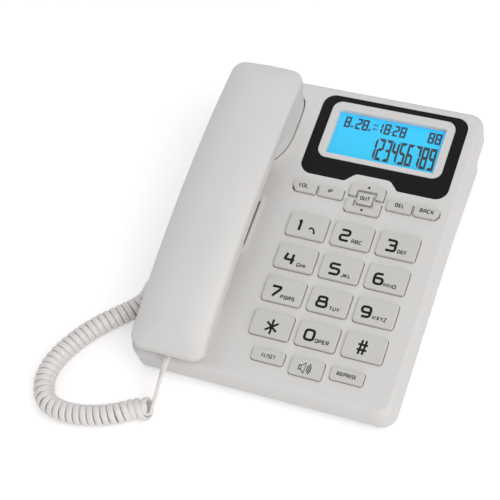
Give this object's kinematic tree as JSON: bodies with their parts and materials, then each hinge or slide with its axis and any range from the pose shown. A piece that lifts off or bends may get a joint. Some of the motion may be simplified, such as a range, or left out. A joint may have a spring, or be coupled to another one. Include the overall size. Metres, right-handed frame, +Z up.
{
  "type": "corded telephone",
  "caption": "Corded desk telephone: sloping base with display, dialling and function keys, grille and cradle cups, a lift-off handset and a curly cord between them",
  "frame": {"origin": "On the table plane, under the middle of the phone's bounding box without its cord", "axes": "X to the user's right, Y away from the user towards the phone's back, Z up. The top slopes 8 degrees up towards the back."},
  "size_m": [0.2217, 0.2601, 0.0796],
  "materials": {
    "housing_plastic": "fine satin moulded surface",
    "key_plastic": "satin",
    "frame_plastic": "satin",
    "fascia_black": "smooth, slightly glossy",
    "window_clear": "clear acrylic",
    "lcd_blue": "even sky-blue backlight",
    "board_green": "solder mask",
    "mat_rubber": "silicone sheet",
    "speaker_metal": "pressed basket",
    "jack_black": "moulded",
    "foot_rubber": "matte",
    "screw_steel": "plain",
    "capsule_black": "matte",
    "capsule_metal": "drawn can",
    "weight_iron": "as cast",
    "plug_clear": "clear modular plug",
    "cord_jacket": "soft satin PVC"
  },
  "bodies": {
    "base": {"base_top_housing": "housing_plastic", "base_bottom_housing": "housing_plastic", "display_fascia": "fascia_black", "display_frame": "frame_plastic", "display_window": "window_clear", "lcd_panel": "lcd_blue", "display_board": "board_green", "main_board": "board_green", "keypad_mat": "mat_rubber", "base_speaker": "speaker_metal", "line_jack": "jack_black", "base_handset_jack": "jack_black", "rubber_feet": "foot_rubber", "base_screws": "screw_steel", "board_screws": "screw_steel", "hook_switch": "jack_black", "base_cord_plug": "plug_clear", "cord_coil": "cord_jacket", "cord_tail": "cord_jacket"},
    "handset": {"handset_outer_shell": "housing_plastic", "handset_inner_shell": "housing_plastic", "earpiece_capsule": "capsule_black", "microphone_capsule": "capsule_metal", "handset_weight": "weight_iron", "handset_jack": "jack_black", "handset_screws": "screw_steel", "handset_cord_plug": "plug_clear", "cord_lead": "cord_jacket"},
    "hook": {"hook_plunger": "key_plastic"},
    "key_1_body": {"key_1": "key_plastic"},
    "key_2_body": {"key_2": "key_plastic"},
    "key_3_body": {"key_3": "key_plastic"},
    "key_4_body": {"key_4": "key_plastic"},
    "key_5_body": {"key_5": "key_plastic"},
    "key_6_body": {"key_6": "key_plastic"},
    "key_7_body": {"key_7": "key_plastic"},
    "key_8_body": {"key_8": "key_plastic"},
    "key_9_body": {"key_9": "key_plastic"},
    "key_star_body": {"key_star": "key_plastic"},
    "key_0_body": {"key_0": "key_plastic"},
    "key_hash_body": {"key_hash": "key_plastic"},
    "key_vol_body": {"key_vol": "key_plastic"},
    "key_ip_body": {"key_ip": "key_plastic"},
    "key_up_body": {"key_up": "key_plastic"},
    "key_down_body": {"key_down": "key_plastic"},
    "key_out_body": {"key_out": "key_plastic"},
    "key_del_body": {"key_del": "key_plastic"},
    "key_back_body": {"key_back": "key_plastic"},
    "key_flash_set_body": {"key_flash_set": "key_plastic"},
    "key_speaker_body": {"key_speaker": "key_plastic"},
    "key_redial_pause_body": {"key_redial_pause": "key_plastic"}
  },
  "joints": [
    {"name": "handset_lift", "type": "slide", "parent": "base", "child": "handset", "axis": [0, -0.1392, 0.9903], "range_m": [0, 0.08]},
    {"name": "hook_rise", "type": "slide", "parent": "base", "child": "hook", "axis": [0, -0.1392, 0.9903], "range_m": [0, 0.004]},
    {"name": "key_1_press", "type": "slide", "parent": "base", "child": "key_1_body", "axis": [0, -0.1392, 0.9903], "range_m": [-0.0012, 0], "stiffness_N_per_m": 700},
    {"name": "key_2_press", "type": "slide", "parent": "base", "child": "key_2_body", "axis": [0, -0.1392, 0.9903], "range_m": [-0.0012, 0], "stiffness_N_per_m": 700},
    {"name": "key_3_press", "type": "slide", "parent": "base", "child": "key_3_body", "axis": [0, -0.1392, 0.9903], "range_m": [-0.0012, 0], "stiffness_N_per_m": 700},
    {"name": "key_4_press", "type": "slide", "parent": "base", "child": "key_4_body", "axis": [0, -0.1392, 0.9903], "range_m": [-0.0012, 0], "stiffness_N_per_m": 700},
    {"name": "key_5_press", "type": "slide", "parent": "base", "child": "key_5_body", "axis": [0, -0.1392, 0.9903], "range_m": [-0.0012, 0], "stiffness_N_per_m": 700},
    {"name": "key_6_press", "type": "slide", "parent": "base", "child": "key_6_body", "axis": [0, -0.1392, 0.9903], "range_m": [-0.0012, 0], "stiffness_N_per_m": 700},
    {"name": "key_7_press", "type": "slide", "parent": "base", "child": "key_7_body", "axis": [0, -0.1392, 0.9903], "range_m": [-0.0012, 0], "stiffness_N_per_m": 700},
    {"name": "key_8_press", "type": "slide", "parent": "base", "child": "key_8_body", "axis": [0, -0.1392, 0.9903], "range_m": [-0.0012, 0], "stiffness_N_per_m": 700},
    {"name": "key_9_press", "type": "slide", "parent": "base", "child": "key_9_body", "axis": [0, -0.1392, 0.9903], "range_m": [-0.0012, 0], "stiffness_N_per_m": 700},
    {"name": "key_star_press", "type": "slide", "parent": "base", "child": "key_star_body", "axis": [0, -0.1392, 0.9903], "range_m": [-0.0012, 0], "stiffness_N_per_m": 700},
    {"name": "key_0_press", "type": "slide", "parent": "base", "child": "key_0_body", "axis": [0, -0.1392, 0.9903], "range_m": [-0.0012, 0], "stiffness_N_per_m": 700},
    {"name": "key_hash_press", "type": "slide", "parent": "base", "child": "key_hash_body", "axis": [0, -0.1392, 0.9903], "range_m": [-0.0012, 0], "stiffness_N_per_m": 700},
    {"name": "key_vol_press", "type": "slide", "parent": "base", "child": "key_vol_body", "axis": [0, -0.1392, 0.9903], "range_m": [-0.0012, 0], "stiffness_N_per_m": 700},
    {"name": "key_ip_press", "type": "slide", "parent": "base", "child": "key_ip_body", "axis": [0, -0.1392, 0.9903], "range_m": [-0.0012, 0], "stiffness_N_per_m": 700},
    {"name": "key_up_press", "type": "slide", "parent": "base", "child": "key_up_body", "axis": [0, -0.1392, 0.9903], "range_m": [-0.0012, 0], "stiffness_N_per_m": 700},
    {"name": "key_down_press", "type": "slide", "parent": "base", "child": "key_down_body", "axis": [0, -0.1392, 0.9903], "range_m": [-0.0012, 0], "stiffness_N_per_m": 700},
    {"name": "key_out_press", "type": "slide", "parent": "base", "child": "key_out_body", "axis": [0, -0.1392, 0.9903], "range_m": [-0.0012, 0], "stiffness_N_per_m": 700},
    {"name": "key_del_press", "type": "slide", "parent": "base", "child": "key_del_body", "axis": [0, -0.1392, 0.9903], "range_m": [-0.0012, 0], "stiffness_N_per_m": 700},
    {"name": "key_back_press", "type": "slide", "parent": "base", "child": "key_back_body", "axis": [0, -0.1392, 0.9903], "range_m": [-0.0012, 0], "stiffness_N_per_m": 700},
    {"name": "key_flash_set_press", "type": "slide", "parent": "base", "child": "key_flash_set_body", "axis": [0, -0.1392, 0.9903], "range_m": [-0.0012, 0], "stiffness_N_per_m": 700},
    {"name": "key_speaker_press", "type": "slide", "parent": "base", "child": "key_speaker_body", "axis": [0, -0.1392, 0.9903], "range_m": [-0.0012, 0], "stiffness_N_per_m": 700},
    {"name": "key_redial_pause_press", "type": "slide", "parent": "base", "child": "key_redial_pause_body", "axis": [0, -0.1392, 0.9903], "range_m": [-0.0012, 0], "stiffness_N_per_m": 700}
  ],
  "couplings": [
    {"joint": "hook_rise", "follows": "handset_lift", "ratio": 0.05}
  ]
}
